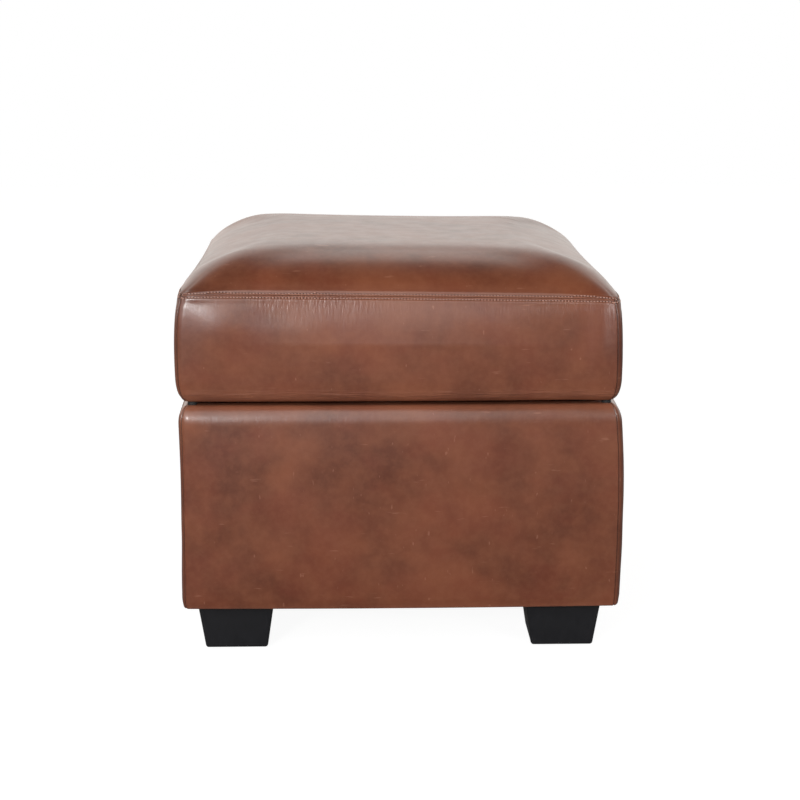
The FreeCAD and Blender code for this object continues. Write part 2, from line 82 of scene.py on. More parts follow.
TOP_Z = SEAM_Z + RISE
SEAM_TILT = 4 * MM              # the seam runs this much higher on the left than in the middle
LID_ROUND = (12 * MM, 28 * MM)  # lower edge of the lid: inwards, upwards
RIM_ROUND = (12 * MM, 24 * MM)  # upper edge of the base: inwards, downwards
HEM_ROUND = (1.5 * MM, 14 * MM)  # lower edge of the base: inwards, upwards
HEM_BEND = 2 * MM               # radius of the fold under the frame
HEM_LIP = 18 * MM               # how far the leather reaches in under the frame
FOLD_HEIGHT = 9 * MM            # fine folds run along the lid this far over its lower edge
LID_BULGE = {"left": 3.5 * MM, "right": 1 * MM, "front": 3 * MM, "back": 2 * MM}
BASE_BULGE = {"left": -1 * MM, "right": 6 * MM, "front": 2 * MM, "back": 1 * MM}
SEAM_TURN = {(-1, -1): 40, (1, -1): 20, (-1, 1): 45, (1, 1): 45}   # degrees round each corner
STITCH_OFFSET = 3 * MM          # from the seam to either row
STITCH_PITCH = 4 * MM
STITCH_LENGTH = 2.8 * MM
THREAD_RADIUS = 0.6 * MM
HOLE_REACH = (0.95 * MM, 0.9 * MM)  # of the painted-shade lens round a needle hole: along, across
UPPER_ROW_INSET = 1.6 * MM      # the upper row lies on the top, this far in from the seam
LID_CREASES = [                 # start, end, width, depth
    ((-0.17, 0.205, TOP_Z), (-0.06, 0.225, TOP_Z), 4 * MM, 0.7 * MM),
    ((-0.19, 0.180, TOP_Z), (-0.11, 0.200, TOP_Z), 3 * MM, 0.5 * MM),
    ((0.10, 0.215, TOP_Z), (0.19, 0.195, TOP_Z), 4 * MM, 0.7 * MM),
    ((0.13, 0.160, TOP_Z), (0.22, 0.120, TOP_Z), 4 * MM, 0.6 * MM),
    ((0.15, 0.100, TOP_Z), (0.20, 0.060, TOP_Z), 3 * MM, 0.5 * MM),
    ((0.277, -0.284, SEAM_Z - 0.009), (0.252, -0.286, SEAM_Z - 0.016), 1.6 * MM, 0.6 * MM),
    ((0.276, -0.284, SEAM_Z - 0.012), (0.262, -0.286, SEAM_Z - 0.030), 1.8 * MM, 0.5 * MM),
    ((-0.277, -0.283, SEAM_Z - 0.006), (-0.256, -0.286, SEAM_Z - 0.014), 1.8 * MM, 0.5 * MM),
]
LID_LUMPS = [                   # plump places in the filling: middle, size, height
    ((-0.224, -0.290, SEAM_Z - 0.036), (0.034, 0.050, 0.034), 2.6 * MM),
    ((0.252, -0.290, SEAM_Z - 0.070), (0.016, 0.050, 0.060), 2.4 * MM),
    ((-0.290, 0.120, SEAM_Z - 0.050), (0.050, 0.060, 0.040), 2.0 * MM),
    ((0.290, -0.090, SEAM_Z - 0.045), (0.050, 0.070, 0.040), 2.0 * MM),
]

# ---- filling pressed against the leather, by cloth simulation ----
PRESSURE = 1.2
FRAMES = 20
BENDING = 12                    # stiff leather folds broadly
SHRINKAGE = 0.001               # share by which the leather is cut tighter than the form
LID_CAP = 5 * MM                # most that the filling moves the lid's leather
LID_SWELL = 1.5 * MM            # the lid's top starts this much lower
BASE_CAP = 2.5 * MM             # most that the filling moves the base's leather

# ---- spacing of mesh lines: first step from an edge, growth, widest step ----
FILLING_LINES = (4 * MM, 1.4, 9 * MM)
LID_LINES = (0.15 * MM, 1.3, 2.6 * MM)
BASE_LINES = (0.3 * MM, 1.35, 3.2 * MM)
SHEET_LINES = (2 * MM, 1.4, 7 * MM)
LINER_LINES = (2 * MM, 1.4, 8 * MM)

# ---- cloth ----
CLOTH = 0.6 * MM                # thickness
FOOT_CENTRE = 212 * MM          # of each foot, from both middle planes


# ======== numbers ========
def lattice(cells, seed):
    """A repeatable random number from -1 to 1 for each lattice point."""
    x, y, z = cells[..., 0], cells[..., 1], cells[..., 2]
    mixed = x * 73856093 ^ y * 19349663 ^ z * 83492791 ^ seed * 2654435
    mixed = (mixed ^ (mixed >> 13)) * 1274126177 & 0x7FFFFFFF
    mixed = (mixed ^ (mixed >> 16)) * 1103515245 & 0x7FFFFFFF
    return mixed / 0x3FFFFFFF - 1


def noise(points, size, seed):
    """Smooth random numbers from -1 to 1 that change over about this size, one or one per axis."""
    scaled = points / np.asarray(size)
    cells = np.floor(scaled).astype(np.int64)
    part = scaled - cells
    part = part * part * (3 - 2 * part)
    total = np.zeros(points.shape[:-1])
    for dx in (0, 1):
        for dy in (0, 1):
            for dz in (0, 1):
                weight = np.prod(np.abs(1 - np.array((dx, dy, dz)) - part), axis=-1)
                total += weight * lattice(cells + (dx, dy, dz), seed)
    return total


def bump(distance, width):
    """1 at no distance, fading to 0 over about this width."""
    return np.exp(-((distance / width) ** 2))


def fade(value, start, end):
    """0 at start, 1 at end, smooth between them."""
    t = np.clip((value - start) / (end - start), 0, 1)
    return t * t * (3 - 2 * t)


def crease(points, start, end, width, depth):
    """A shallow furrow along a line, with a soft ridge beside it and ends that run out."""
    start, end = np.array(start), np.array(end)
    line = end - start
    t = np.clip((points - start) @ line / (line @ line), 0, 1)
    gap = np.linalg.norm(points - (start + t[..., None] * line), axis=-1)
    strength = np.sin(math.pi * (0.08 + 0.84 * t))
    return depth * strength * (0.6 * bump(gap, 2.4 * width) - 1.5 * bump(gap, width))


def spline_weights(fine, coarse):
    """Cubic weights that carry values at coarse places to fine ones. Both ends stay at nothing."""
    place = np.interp(fine, coarse, np.arange(len(coarse)))
    cell = np.minimum(place.astype(int), len(coarse) - 2)
    t = place - cell
    before, after = 3 * t ** 3 - 6 * t ** 2 + 4, 1 + 3 * t + 3 * t ** 2 - 3 * t ** 3
    parts = ((1 - t) ** 3, before, after, t ** 3)
    weights = np.zeros((len(fine), len(coarse) + 2))
    for offset, part in enumerate(parts):
        weights[np.arange(len(fine)), cell + offset] += part / 6
    weights[:, 2] -= weights[:, 0]
    weights[:, -3] -= weights[:, -1]
    return weights[:, 1:-1]


# ======== upholstered forms ========
def edge_lines(half, first, growth, widest):
    """Places from -half to half, closest together at both ends."""
    near = [0.0]
    step = first
    while step < widest:
        near.append(near[-1] + step)
        step *= growth
    count = int(round(2 * (half - near[-1]) / widest))
    middle = np.linspace(near[-1], 2 * half - near[-1], count + 1)
    far = [2 * half - place for place in near[-2::-1]]
    return np.concatenate([near[:-1], middle, far]) - half


def corner_turns(x, y):
    """Angle from the front or back face at which a corner's seam lies."""
    turns = np.zeros(x.shape)
    for (sign_x, sign_y), degrees in SEAM_TURN.items():
        here = (np.where(x < 0, -1, 1) == sign_x) & (np.where(y < 0, -1, 1) == sign_y)
        turns[here] = math.radians(degrees)
    return turns


def round_plan(x, y, half, radius):
    """Square rings become rings with rounded corners, whose corner points lie on the seams."""
    ring = np.maximum(abs(x), abs(y))
    along = ring - np.minimum(abs(x), abs(y))
    radius = radius * np.exp(-(half - ring) / CORNER_FADE) + 1e-9
    part = np.clip(along / radius, 0, 1)
    turn = corner_turns(x, y)
    on_front = abs(y) >= abs(x)
    angle = np.where(on_front, turn * (1 - part), turn + (QUARTER - turn) * part)
    centre = ring - radius
    in_corner = along < radius
    new_x = np.where(in_corner, centre + radius * np.sin(angle), abs(x))
    new_y = np.where(in_corner, centre + radius * np.cos(angle), abs(y))
    return np.sign(x) * new_x, np.sign(y) * new_y


def swell(x, y, bow, bulge, share):
    """Sides stand out: bow in the middle of a side, and bulge over its whole width."""
    u, v = x / HALF, y / HALF
    side_x = np.where(x < 0, bulge["left"], bulge["right"])
    side_y = np.where(y < 0, bulge["front"], bulge["back"])
    out_x = u * (bow * (1 - v * v) + side_x * share)
    out_y = v * (bow * (1 - u * u) + side_y * share)
    return x + out_x, y + out_y


def ring_order(count):
    """Grid places round the outside, from the front left corner to the right."""
    last = count - 1
    order = [(i, 0) for i in range(last)] + [(last, j) for j in range(last)]
    order += [(last - i, last) for i in range(last)] + [(0, last - j) for j in range(last)]
    return np.array(order)


def side_points(lines, section, bulge):
    """Columns round the form. Each row of its section is (inset, z, radius, bow, bulge share)."""
    order = ring_order(len(lines))
    columns_x, columns_y = lines[order[:, 0]], lines[order[:, 1]]
    rows = []
    for inset, z, radius, bow, bulge_share in section:
        scale = 1 - inset / HALF
        x, y = round_plan(columns_x * scale, columns_y * scale, HALF - inset, radius)
        x, y = swell(x, y, bow, bulge, bulge_share)
        rows.append(np.stack([x, y, np.full(x.shape, z)], axis=-1))
    return np.stack(rows, axis=1)


def mesh_object(name, points, faces, smooth=True):
    mesh = bpy.data.meshes.new(name)
    mesh.from_pydata([tuple(p) for p in points], [], faces)
    mesh.validate()
    mesh.update()
    if smooth:
        mesh.shade_smooth()
    obj = bpy.data.objects.new(name, mesh)
    bpy.context.scene.collection.objects.link(obj)
    return obj


def ring_faces(index):
    """Quads between the columns (first axis, a closed ring) and the rows (second axis)."""
    a, b = index, np.roll(index, -1, axis=0)
    quads = np.stack([a[:, :-1], a[:, 1:], b[:, 1:], b[:, :-1]], axis=-1)
    return quads.reshape(-1, 4)


def grid_faces(index):
    quads = np.stack([index[:-1, :-1], index[1:, :-1], index[1:, 1:], index[:-1, 1:]], axis=-1)
    return quads.reshape(-1, 4)


def vertex_normals(obj):
    values = np.zeros(len(obj.data.vertices) * 3)
    obj.data.vertices.foreach_get("normal", values)
    return values.reshape(-1, 3)


def vertex_places(obj):
    values = np.zeros(len(obj.data.vertices) * 3)
    obj.data.vertices.foreach_get("co", values)
    return values.reshape(-1, 3)


def move_out(obj, distance):
    """Moves each point along its normal."""
    places = vertex_places(obj) + vertex_normals(obj) * distance[:, None]
    obj.data.vertices.foreach_set("co", places.ravel())
    obj.data.update()


def set_attribute(obj, name, values):
    attribute = obj.data.attributes.new(name, "FLOAT", "POINT")
    attribute.data.foreach_set("value", values.astype(np.float32))


def stuffed(obj, pinned, cap):
    """How far each point of a cover moves when its filling presses on it, with its seams held."""
    start = vertex_places(obj)
    group = obj.vertex_groups.new(name="seams")
    group.add(np.flatnonzero(pinned).tolist(), 1.0, "REPLACE")
    cloth = obj.modifiers.new("filling", "CLOTH").settings
    cloth.vertex_group_mass = group.name
    cloth.use_pressure = True
    cloth.uniform_pressure_force = PRESSURE
    cloth.shrink_min = SHRINKAGE
    cloth.bending_stiffness = BENDING
    cloth.effector_weights.gravity = 0
    for frame_number in range(1, FRAMES + 1):
        bpy.context.scene.frame_set(frame_number)
    mesh = obj.evaluated_get(bpy.context.evaluated_depsgraph_get()).to_mesh()
    end = np.zeros(start.size)
    mesh.vertices.foreach_get("co", end)
    move = end.reshape(-1, 3) - start
    bpy.data.objects.remove(obj)
    bpy.context.scene.frame_set(1)
    length = np.linalg.norm(move, axis=-1, keepdims=True) + 1e-9
    return move * cap * np.tanh(length / cap) / length


def spread_sides(move, coarse, fine, coarse_rows, fine_rows):
    """Carries the moves of the four sides from the coarse form to the fine one."""
    across = spline_weights(fine, coarse)
    down = spline_weights(fine_rows, coarse_rows)
    closed = np.concatenate([move, move[:1]])
    per_side = len(coarse) - 1
    sides = []
    for side in range(4):
        part = closed[side * per_side:(side + 1) * per_side + 1]
        sides.append(np.einsum("ai,ijk,bj->abk", across, part, down)[:-1])
    return np.concatenate(sides)


def row_lengths(rows):
    """Length of the section down to each of its rows."""
    steps = np.linalg.norm(np.diff(rows, axis=0), axis=-1)
    return np.concatenate([[0], np.cumsum(steps)])


# ---- lid ----
def crown_share(inset, way):
    """Height of the top over its seam, as a share of the whole rise, so far in from one side."""
    edge_rise, edge_run, dome_rise, dome_run = CROWN[way]
    edge = edge_rise * (1 - np.exp(-inset / edge_run))
    dome = dome_rise * (1 - (1 - np.minimum(inset / dome_run, 1)) ** 2)
    return (edge + dome) / (edge_rise + dome_rise)


def lid_section(widest):
    """Rows from the seam down the side, round the lower edge and in under the lid."""
    inwards, upwards = LID_ROUND
    start, end = SEAM_Z, LID_Z + upwards
    reach = start - end
    drops = edge_lines(reach, widest / 10, 1.28, widest)
    drops = (drops[drops <= 0] + reach) / reach
    drops[-1] = 1.0
    rows = []
    for drop in drops:
        z = start + (end - start) * drop
        pinch = 1.6 * MM * math.exp(-(start - z) / (7 * MM))
        rows.append((pinch, z, CORNER, 1.0))
    for step in range(1, 13):
        angle = QUARTER * step / 12
        inset = inwards * (1 - math.cos(angle))
        rows.append((inset, LID_Z + upwards * (1 - math.sin(angle)), CORNER - 0.5 * inset, 1.0))
    lip = HALF - LID_LIP_INNER
    for step in (0.08, 0.3, 0.6, 0.9, 1.0):
        inset = inwards + (lip - inwards) * step
        rows.append((inset, LID_Z, max(CORNER - 0.5 * inset, MM) * (1 - step) + MM, 1 - step))
    rows.append((lip, LID_Z + 1.3 * MM, MM, 0.0))
    section = []
    for inset, z, radius, share in rows:
        level = (SEAM_Z - z) / (SEAM_Z - LID_Z)
        bulge = max(0.0, 1 - ((level - LID_FULLEST) / LID_FULL_REACH) ** 2) * share
        bow = (TOP_BOW + (0.5 * BOW - TOP_BOW) * min(level / FULLEST, 1.0)) * share
        section.append((inset, z, radius, bow, bulge))
    return section


def lid_form(lines, section):
    """Places of the domed top (a grid) and of the four sides (columns by rows)."""
    grid_x, grid_y = np.meshgrid(lines, lines, indexing="ij")
    inset, _, radius, bow, bulge_share = section[0]
    scale = 1 - inset / HALF
    x, y = round_plan(grid_x * scale, grid_y * scale, HALF - inset, radius)
    x, y = swell(x, y, bow, LID_BULGE, bulge_share)
    shares = crown_share(HALF - abs(grid_x), "side") * crown_share(HALF - abs(grid_y), "end")
    rise = RISE * shares - LID_SWELL * shares ** 3
    top = np.stack([x, y, SEAM_Z + rise], axis=-1)
    sides = side_points(lines, section, LID_BULGE)
    for part in (top, sides):
        part[..., 2] -= SEAM_TILT * part[..., 0] / HALF * fade(part[..., 2], LID_Z, SEAM_Z)
    return top, sides


def box_mesh(name, top, sides, capped):
    """A grid joined to the sides round it. Capped closes the far end of the sides."""
    count, rows = len(top), sides.shape[1]
    order = ring_order(count)
    top_index = np.arange(count * count).reshape(count, count)
    side_index = count * count + np.arange(len(order) * (rows - 1)).reshape(len(order), rows - 1)
    side_index = np.concatenate([top_index[order[:, 0], order[:, 1]][:, None], side_index], axis=1)
    points = np.concatenate([top.reshape(-1, 3), sides[:, 1:].reshape(-1, 3)])
    faces = grid_faces(top_index).tolist() + ring_faces(side_index).tolist()
    if capped:
        faces.append(side_index[:, -1].tolist())
    return mesh_object(name, points, faces)


def stuff_lid(fine, top, sides):
    """Adds the moves of a coarser lid, whose leather is held at its seams and its lower edge."""
    lines = edge_lines(HALF, *FILLING_LINES)
    section = lid_section(8 * MM)
    coarse_top, coarse_sides = lid_form(lines, section)
    obj = box_mesh("lid_filling", coarse_top, coarse_sides, False)
    count, columns, rows = len(lines), 4 * (len(lines) - 1), len(section)
    edge = np.zeros((count, count), bool)
    edge[[0, -1]] = edge[:, [0, -1]] = True
    held = np.zeros((columns, rows), bool)
    held[::count - 1] = True
    held[:, coarse_sides[0, :, 2] < LID_Z + 0.6 * LID_ROUND[1]] = True
    pinned = np.concatenate([edge.ravel(), held[:, 1:].ravel()])
    move = stuffed(obj, pinned, LID_CAP)
    top_move = move[:count * count].reshape(count, count, 3)
    side_move = move[count * count:].reshape(columns, rows - 1, 3)
    side_move = np.concatenate([np.zeros((columns, 1, 3)), side_move], axis=1)
    weights = spline_weights(fine, lines)
    top += np.einsum("ai,ijk,bj->abk", weights, top_move, weights)
    lengths = row_lengths(coarse_sides[0]), row_lengths(sides[0])
    sides += spread_sides(side_move, lines, fine, *lengths)


def lid_leather():
    """The lid's stuffed cover, with each point's distance from the top seam and a corner seam."""
    lines = edge_lines(HALF, *LID_LINES)
    count = len(lines)
    section = lid_section(3 * MM)
    top, sides = lid_form(lines, section)
    stuff_lid(lines, top, sides)
    obj = box_mesh("lid_leather_cover", top, sides, True)
    order = ring_order(count)
    rows = len(section)

    travels = []
    for way in ("side", "end"):
        step = np.hypot(np.diff(lines), np.diff(RISE * crown_share(HALF - abs(lines), way)))
        travel = np.concatenate([[0], np.cumsum(step)])
        travels.append(np.minimum(travel, travel[-1] - travel))
    top_seam = np.minimum(*np.meshgrid(*travels, indexing="ij")).ravel()
    drop = row_lengths(sides[0])
    side_seam = np.broadcast_to(drop[1:], (len(order), rows - 1)).ravel()
    near_corner = HALF - np.minimum(abs(lines[order[:, 0]]), abs(lines[order[:, 1]]))
    side_corner = np.broadcast_to(near_corner[:, None], (len(order), rows - 1)).ravel()
    seam = np.concatenate([top_seam, side_seam])
    corner = np.concatenate([np.full(count * count, HALF), side_corner])
    on_side = np.concatenate([np.zeros(count * count), np.ones(side_seam.size)])
    return obj, seam, corner, on_side


def seam_profile(distance):
    """Height of the leather beside a double-stitched seam."""
    fold = -0.45 * bump(distance, 0.6 * MM) + 0.35 * bump(distance - 1.6 * MM, 1.0 * MM)
    rows = -0.75 * bump(distance - STITCH_OFFSET, 0.8 * MM) + 0.5 * bump(distance - 6 * MM, 2.6 * MM)
    return (fold + rows) * MM


def plain_seam_profile(distance):
    """Height of the leather beside a seam with no topstitching."""
    return (-1.3 * bump(distance, 0.8 * MM) + 0.3 * bump(distance - 3 * MM, 2 * MM)) * MM


def seam_corner_gap(places):
    """Distance from the nearest place where the lid's three panels meet."""
    seam_z = SEAM_Z - SEAM_TILT * np.sign(places[:, 0])
    gaps = [HALF - abs(places[:, 0]), HALF - abs(places[:, 1]), places[:, 2] - seam_z]
    return np.linalg.norm(gaps, axis=0)


def pull_in_corners(obj):
    """The sewing pulls each corner of the lid inwards, so it is blunt."""
    places = vertex_places(obj)
    pull = CORNER_PULL * np.exp(-seam_corner_gap(places) / CORNER_REACH)
    places[:, :2] -= np.sign(places[:, :2]) * pull[:, None]
    obj.data.vertices.foreach_set("co", places.ravel())
    obj.data.update()


def lid_relief(places, seam, corner, on_side, gathered):
    """How far each point stands out: seams, puckers, soft waves, folds, creases and lumps."""
    height = (places[:, 2] - LID_Z) / (SEAM_Z - LID_Z)
    upright = fade(height, -0.02, 0.08)
    move = seam_profile(seam) + plain_seam_profile(corner) * on_side * upright
    pucker = noise(places, (7 * MM, 7 * MM, 60 * MM), 3)
    pucker += 0.8 * noise(places, (4 * MM, 4 * MM, 40 * MM), 4)
    pucker *= gathered * np.exp(-seam / (14 * MM)) * fade(seam, 0.5 * MM, 4 * MM)
    move += 0.12 * MM * pucker
    crumple = noise(places, 5 * MM, 9) + 0.7 * noise(places, 3 * MM, 10)
    move += 0.7 * MM * crumple * bump(seam_corner_gap(places), 16 * MM)
    soft = noise(places, (120 * MM, 120 * MM, 60 * MM), 5)
    soft += (0.1 + 0.3 * on_side) * noise(places, (45 * MM, 45 * MM, 30 * MM), 6)
    move += (0.4 + 0.4 * on_side) * MM * soft * fade(seam, 4 * MM, 40 * MM) * upright
    pull = noise(places, (38 * MM, 38 * MM, 3.5 * MM), 7)
    move += 0.4 * MM * pull * bump(places[:, 2] - LID_Z - FOLD_HEIGHT, 8 * MM) * on_side
    for start, end, width, depth in LID_CREASES:
        move += crease(places, start, end, width, depth)
    for place, size, rise in LID_LUMPS:
        move += rise * bump(np.linalg.norm((places - place) / size, axis=-1), 1.0)
    return move


def finish_lid_surface(obj, seam, corner, on_side):
    """Gives the lid its relief, and marks its raised edges for a painted highlight, its seam grooves
    for painted shade with dirt, and where it is gathered or folded.
    """
    pull_in_corners(obj)
    places = vertex_places(obj)
    gathered = 0.6 + 0.7 * noise(places, 70 * MM, 8)
    move_out(obj, lid_relief(places, seam, corner, on_side, gathered))
    over_edge = places[:, 2] - LID_Z
    # Painted highlight: the ridge beside the seam and the lid's rolled lower edge are made lighter,
    # as if lit.
    lit_edges = bump(seam - 1.7 * MM, 1.5 * MM) + 0.6 * bump(over_edge - 8 * MM, 9 * MM) * on_side
    set_attribute(obj, "painted_edge_highlight", np.clip(lit_edges, 0, 1))
    # Painted shade, with some dirt: the seam, the stitch rows and the corner seams are made darker in
    # their grooves.
    dark = 0.4 * bump(seam, 0.7 * MM) + 0.8 * bump(seam - STITCH_OFFSET, 0.6 * MM)
    dark += bump(corner, 1.3 * MM) * on_side
    set_attribute(obj, "groove_dirt_and_shade", np.clip(dark, 0, 1))
    set_attribute(obj, "gather", np.exp(-seam / (16 * MM)) * on_side * gathered.clip(0, 1))
    set_attribute(obj, "fold", bump(over_edge - FOLD_HEIGHT, 6 * MM) * on_side)


# ---- base ----
def base_section():
    """A closed loop of rows: rim lip, rolled edge, side, hem, then back up inside the leather."""
    inwards, downwards = RIM_ROUND
    hem_in, hem_up = HEM_ROUND
    lip = HALF - RIM_INNER
    rows = []
    for step in (1.0, 0.97, 0.75, 0.5, 0.25, 0.08):
        rows.append((inwards + (lip - inwards) * step, RIM_Z, MM + 3 * MM * (1 - step), 1 - step))
    for step in range(11):
        angle = QUARTER * step / 10
        inset = inwards * (1 - math.sin(angle))
        rows.append((inset, RIM_Z - downwards * (1 - math.cos(angle)), CORNER - 0.75 * inset, 1.0))
    top, bottom = RIM_Z - downwards, HEM_Z + hem_up
    for step in range(1, 49):
        rows.append((0.0, top + (bottom - top) * step / 48, CORNER, 1.0))
    for step in range(1, 9):
        inset = hem_in * (step / 8) ** 2
        rows.append((inset, bottom + (HEM_Z + HEM_BEND - bottom) * step / 8, CORNER - inset, 1.0))
    for step in range(1, 6):
        angle = QUARTER * step / 5
        inset = hem_in + HEM_BEND * (1 - math.cos(angle))
        rows.append((inset, HEM_Z + HEM_BEND * (1 - math.sin(angle)), CORNER - inset, 1.0))
    for step in (0.15, 0.5, 0.9, 1.0):
        inset = hem_in + HEM_BEND + (HEM_LIP - hem_in - HEM_BEND) * step
        rows.append((inset, HEM_Z, 6 * MM - 4 * MM * step, 1 - step))
    behind = HALF - FRAME_FACE - 0.2 * MM
    rows.append((HEM_LIP, HEM_Z + LEATHER, 2 * MM, 0.0))
    rows.append((behind + 2 * MM, HEM_Z + LEATHER, MM, 0.0))
    rows.append((behind, HEM_Z + 4 * MM, MM, 0.0))
    rows.append((behind, RIM_Z - 4 * MM, MM, 0.0))
    rows.append((behind + 2 * MM, RIM_Z - LEATHER, MM, 0.0))
    rows.append((lip, RIM_Z - LEATHER, MM, 0.0))
    section = []
    for inset, z, radius, share in rows:
        level = (RIM_Z - z) / (RIM_Z - HEM_Z)
        upper = 1 - (1 - min(level / FULLEST, 1)) ** 2
        lower = 1 - 0.5 * (max(level - FULLEST, 0) / (1 - FULLEST)) ** 2
        bulge = max(upper * lower, 0.0) * share
        section.append((inset, z, radius, BASE_BOW * share, bulge))
    return section


def stuff_base(fine, section, sides):
    """Adds the moves of a coarser cover, held at the rim's lip, the hem and the corner seams."""
    lines = edge_lines(HALF, *FILLING_LINES)
    shown = [row for row in section if row[4] > 0]
    coarse_section = shown[::2] + [shown[-1]] * (len(shown) % 2 == 0)
    coarse = side_points(lines, coarse_section, BASE_BULGE)
    columns, rows = coarse.shape[:2]
    index = np.arange(columns * rows).reshape(columns, rows)
    obj = mesh_object("base_filling", coarse.reshape(-1, 3), ring_faces(index).tolist())
    held = np.zeros((columns, rows), bool)
    held[:, [0, 1, -2, -1]] = True
    held[::len(lines) - 1] = True
    move = stuffed(obj, held.ravel(), BASE_CAP).reshape(columns, rows, 3)
    first = section.index(shown[0])
    part = sides[:, first:first + len(shown)]
    part += spread_sides(move, lines, fine, row_lengths(coarse[0]), row_lengths(part[0]))


def base_leather():
    """The base's stuffed cover, a closed ring: distances from a corner seam, and what shows."""
    lines = edge_lines(HALF, *BASE_LINES)
    section = base_section()
    sides = side_points(lines, section, BASE_BULGE)
    stuff_base(lines, section, sides)
    columns, rows = sides.shape[:2]
    index = np.arange(columns * rows).reshape(columns, rows)
    index = np.concatenate([index, index[:, :1]], axis=1)
    obj = mesh_object("base_leather_cover", sides.reshape(-1, 3), ring_faces(index).tolist())

    order = ring_order(len(lines))
    ring_x, ring_y = abs(lines[order[:, 0]]), abs(lines[order[:, 1]])
    corner = np.repeat(HALF - np.minimum(ring_x, ring_y), rows)
    outside = np.tile([float(bow > 0.4 * BASE_BOW) for _, _, _, bow, _ in section], columns)
    return obj, corner, outside


def finish_base_surface(obj, corner, outside):
    """Gives the base its seams and soft waves, and marks its rolled edges for a painted highlight and
    its seam grooves for painted shade with dirt.
    """
    places = vertex_places(obj)
    level = (RIM_Z - places[:, 2]) / (RIM_Z - HEM_Z)
    on_face = fade(level, 0.005, 0.05) * fade(1 - level, 0.0, 0.03)
    move = plain_seam_profile(corner) * outside * fade(level, -0.001, 0.01)
    soft = noise(places, (120 * MM, 120 * MM, 80 * MM), 15)
    soft += 0.35 * noise(places, (50 * MM, 50 * MM, 35 * MM), 16)
    move += 0.9 * MM * soft * on_face * outside
    pucker = noise(places, (9 * MM, 9 * MM, 30 * MM), 17)
    rolled = bump(places[:, 2] - RIM_Z + 16 * MM, 12 * MM) * outside
    move += 0.12 * MM * pucker * rolled
    move_out(obj, move)
    # Painted highlight: the rolled rim and the hem are made lighter, as if lit.
    lit_edges = bump(places[:, 2] - RIM_Z + 3 * MM, 5 * MM) + 0.5 * bump(places[:, 2] - HEM_Z, 5 * MM)
    set_attribute(obj, "painted_edge_highlight", np.clip(lit_edges * outside, 0, 1))
    # Painted shade, with some dirt: the corner seams are made darker in their grooves.
    set_attribute(obj, "groove_dirt_and_shade", np.clip(bump(corner, 1.0 * MM) * outside, 0, 1))
    set_attribute(obj, "gather", 0.15 * rolled)
    set_attribute(obj, "fold", np.zeros(len(places)))


# ---- stitching ----
def stitch_mesh(place, along, normal):
    """One stitch: a short thread that rises from one hole and dips into the next."""
    across = along.cross(normal).normalized()
    points = []
    rings, spokes = 7, 6
    for step in range(rings):
        t = step / (rings - 1)
        arch = math.sin(math.pi * t)
        rise = THREAD_RADIUS * (0.9 * arch - 0.7)
        middle = place + along * STITCH_LENGTH * (t - 0.5) + normal * rise
        girth = THREAD_RADIUS * (0.45 + 0.55 * arch ** 0.5)
        for spoke in range(spokes):
            angle = 2 * math.pi * spoke / spokes
            points.append(middle + (across * math.cos(angle) + normal * math.sin(angle)) * girth)
    faces = []
    for step in range(rings - 1):
        for spoke in range(spokes):
            a, b = step * spokes + spoke, step * spokes + (spoke + 1) % spokes
            faces.append((a, b, b + spokes, a + spokes))
    faces.append(tuple(range(spokes - 1, -1, -1)))
    faces.append(tuple(range((rings - 1) * spokes, rings * spokes)))
    return points, faces


def hole_mesh(place, along, normal):
    """A slightly sunken lens round a needle hole, coloured near-black as painted shade for the hole.
    """
    across = along.cross(normal).normalized()
    points = [place + normal * 0.25 * MM]
    spokes = 8
    for height, girth in ((0.18, 0.6), (-0.3, 1.0)):
        for spoke in range(spokes):
            angle = 2 * math.pi * spoke / spokes
            reach = along * math.cos(angle) * HOLE_REACH[0]
            reach += across * math.sin(angle) * HOLE_REACH[1]
            points.append(place + reach * girth + normal * height * MM)
    points.append(place - normal * 0.5 * MM)
    faces = []
    for spoke in range(spokes):
        after = (spoke + 1) % spokes
        inner, outer = 1 + spoke, 1 + spokes + spoke
        faces.append((0, 1 + after, inner))
        faces.append((inner, 1 + after, 1 + spokes + after, outer))
        faces.append((len(points) - 1, outer, 1 + spokes + after))
    return points, faces


def stitch_row(name, surface, targets, holes):
    """Stitches, or the holes between them, laid on the leather nearest to each target place."""
    points, faces = [], []
    for target, along in targets:
        place, normal, _, _ = surface.find_nearest(target)
        along = (along - normal * along.dot(normal)).normalized()
        if holes:
            new_points, new_faces = hole_mesh(place + along * STITCH_PITCH / 2, along, normal)
        else:
            new_points, new_faces = stitch_mesh(place, along, normal)
        faces += [tuple(v + len(points) for v in face) for face in new_faces]
        points += new_points
    return mesh_object(name, points, faces)


def seam_targets(down, inwards):
    """Places along the lid's seam, moved down the side or in over the top, with directions."""
    targets = []
    first, last = -HALF + 5 * MM, HALF - 5 * MM
    count = int((last - first) / STITCH_PITCH)
    for side in range(4):
        direction = Vector((1, 0, 0))
        for _ in range(side):
            direction = Vector((-direction.y, direction.x, 0))
        outward = Vector((direction.y, -direction.x, 0))
        for step in range(count + 1):
            along = first + (last - first) * step / count
            bow = TOP_BOW * (1 - (along / HALF) ** 2)
            place = direction * along + outward * (HALF + bow - inwards)
            z = SEAM_Z - SEAM_TILT * place.x / HALF - down
            targets.append((Vector((place.x, place.y, z)), direction))
    return targets


# ======== materials ========
def srgb(red, green, blue):
    """A colour from 0-255 display values, as linear RGBA."""
    values = [v / 255 for v in (red, green, blue)]
    linear = [v / 12.92 if v <= 0.04045 else ((v + 0.055) / 1.055) ** 2.4 for v in values]
    return (*linear, 1.0)


def ramp(tree, value, low, high, to_low, to_high):
    """A node that carries the values from low to high over to another range."""
    node = tree.nodes.new("ShaderNodeMapRange")
    numbers = {"From Min": low, "From Max": high, "To Min": to_low, "To Max": to_high}
    for socket, number in numbers.items():
        node.inputs[socket].default_value = number
    tree.links.new(value, node.inputs["Value"])
    return node


